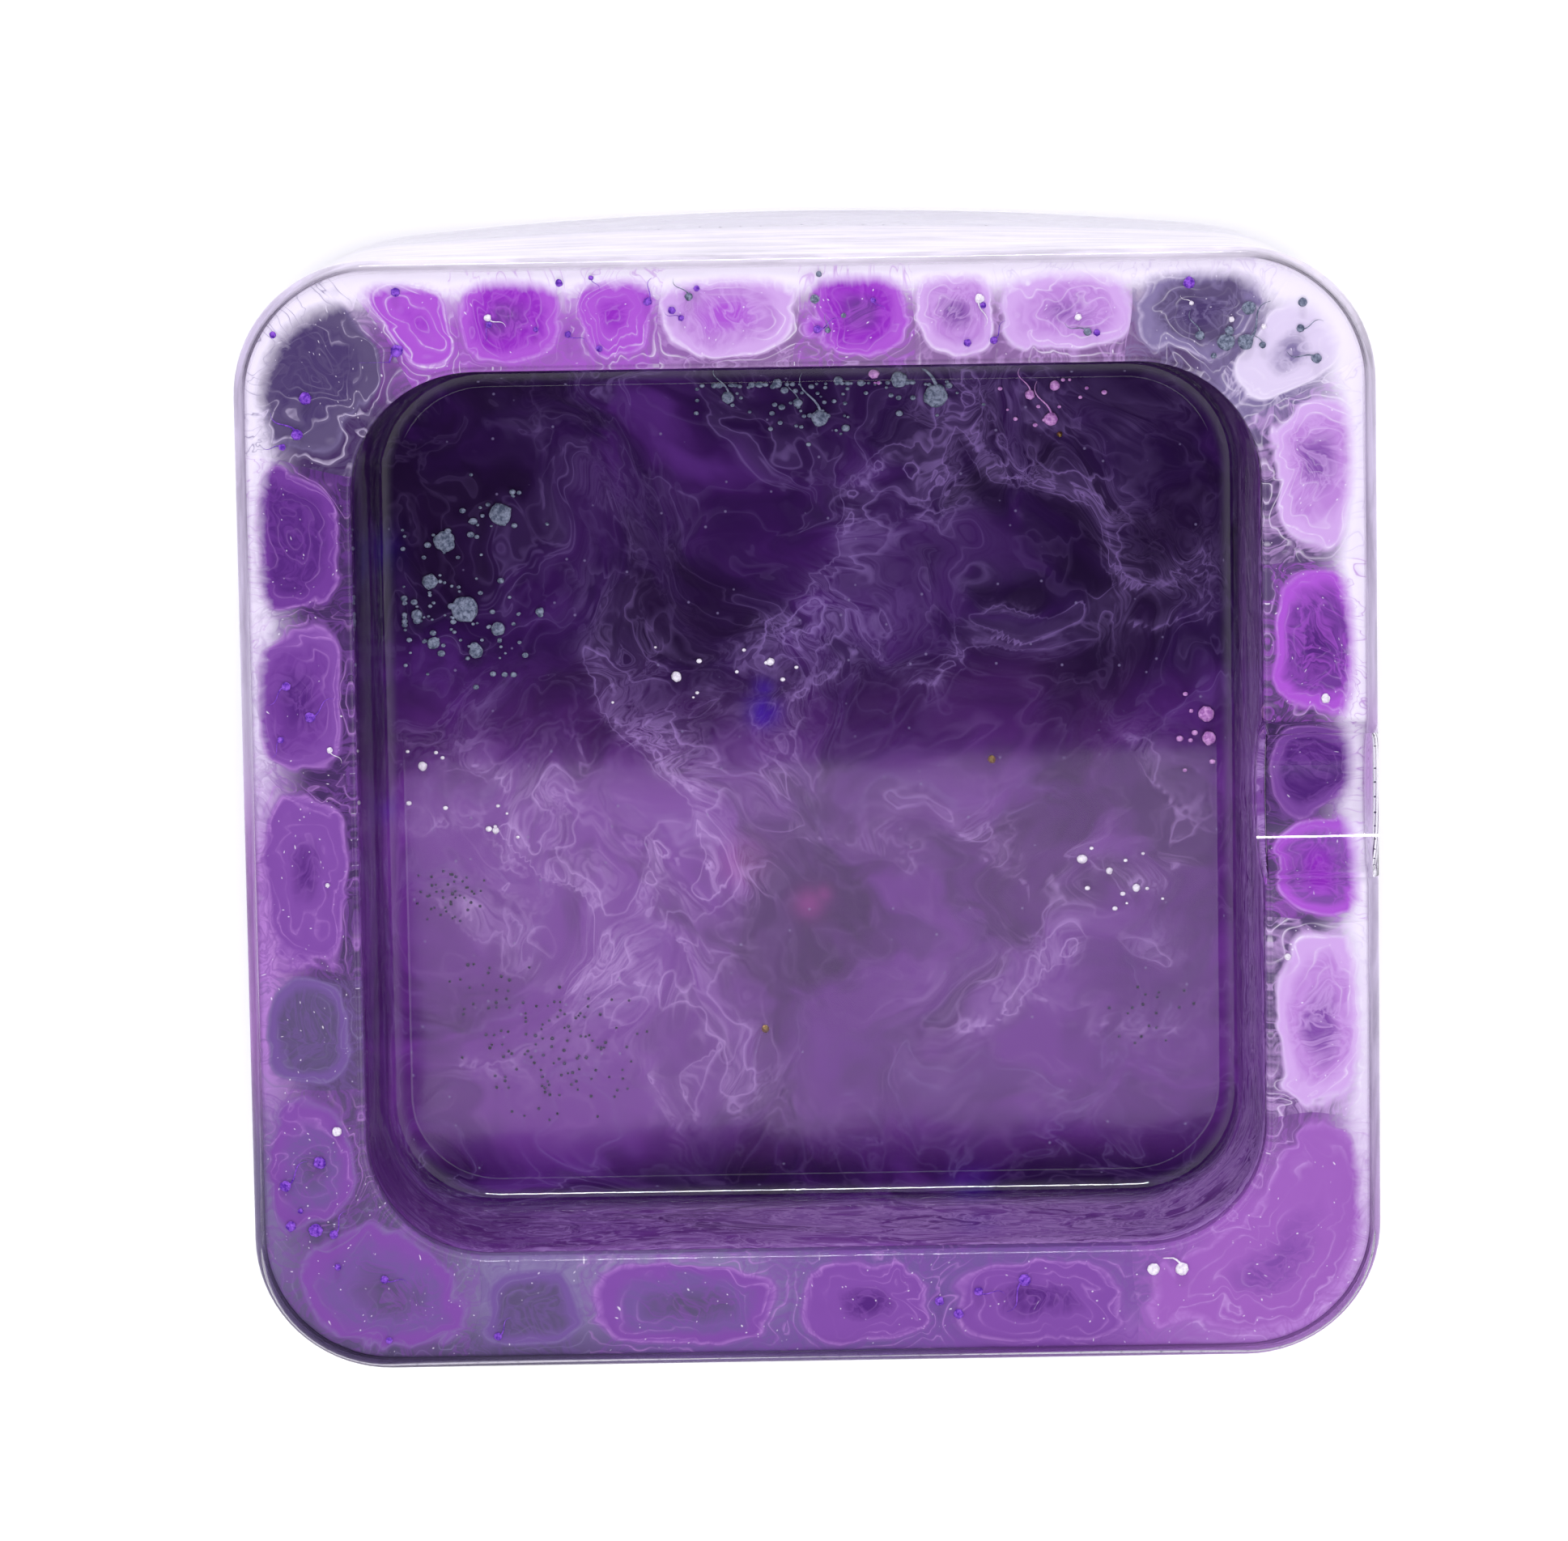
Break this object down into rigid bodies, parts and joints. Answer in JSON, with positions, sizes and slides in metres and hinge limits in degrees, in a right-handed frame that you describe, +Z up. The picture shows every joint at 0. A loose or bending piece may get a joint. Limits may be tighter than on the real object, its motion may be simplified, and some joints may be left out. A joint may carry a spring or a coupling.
{
  "type": "cast resin dish",
  "caption": "Square glossy cast resin dish with a square recess and a half-round rest groove in the rim, with alcohol ink blooms set inside it.",
  "frame": {"origin": "centre of the base, on the plane that the dish rests on", "axes": "+Z up out of the recess; +X from the centre towards the rest groove; +Y along the rim, a quarter turn anticlockwise from +X seen from above"},
  "size_m": [0.1018, 0.1017, 0.02],
  "materials": {
    "clear_resin": "clear cast epoxy with a faint milky violet haze, glossy as it left the mould",
    "tinted_resin": "clear epoxy clouded dark by ink, glossy",
    "indigo_ink": "indigo and violet ink set in epoxy, smoky, glossy",
    "violet_ink": "violet ink set in epoxy, with paler streaks at its edge, glossy",
    "magenta_ink": "magenta-violet ink set in epoxy, glossy",
    "pale_ink": "pale lilac ink with white streaks set in epoxy, glossy",
    "slate_ink": "dark slate-violet ink set in epoxy, glossy",
    "murky_ink": "grey-violet ink swirled thin in epoxy, glossy",
    "violet_pigment": "specks of violet pigment, matt",
    "slate_pigment": "specks of slate-grey pigment, matt",
    "rose_pigment": "specks of rose pigment, matt",
    "white_pigment": "specks of white pigment, matt",
    "gold_leaf": "flecks of gold-coloured foil"
  },
  "bodies": {
    "root": {"base_pour": "tinted_resin", "floor_ink": "indigo_ink", "floor_rose_droplets": "rose_pigment", "floor_slate_droplets": "slate_pigment", "floor_white_droplets": "white_pigment", "gold_flecks": "gold_leaf", "ink_back_1": "magenta_ink", "ink_back_2": "magenta_ink", "ink_back_3": "magenta_ink", "ink_back_4": "pale_ink", "ink_back_5": "magenta_ink", "ink_back_6": "pale_ink", "ink_back_7": "pale_ink", "ink_corner_back_left": "slate_ink", "ink_corner_back_right": "slate_ink", "ink_corner_front_left": "slate_ink", "ink_corner_front_right": "magenta_ink", "ink_corner_pale": "pale_ink", "ink_front_1": "murky_ink", "ink_front_2": "murky_ink", "ink_front_3": "violet_ink", "ink_front_4": "magenta_ink", "ink_left_1": "violet_ink", "ink_left_2": "violet_ink", "ink_left_3": "violet_ink", "ink_left_4": "murky_ink", "ink_left_5": "murky_ink", "ink_right_1": "pale_ink", "ink_right_2": "violet_ink", "ink_right_3": "violet_ink", "ink_right_4": "violet_ink", "ink_right_5": "pale_ink", "rim_slate_droplets": "slate_pigment", "rim_violet_droplets": "violet_pigment", "rim_white_droplets": "white_pigment", "wall_pour": "clear_resin"}
  },
  "joints": []
}
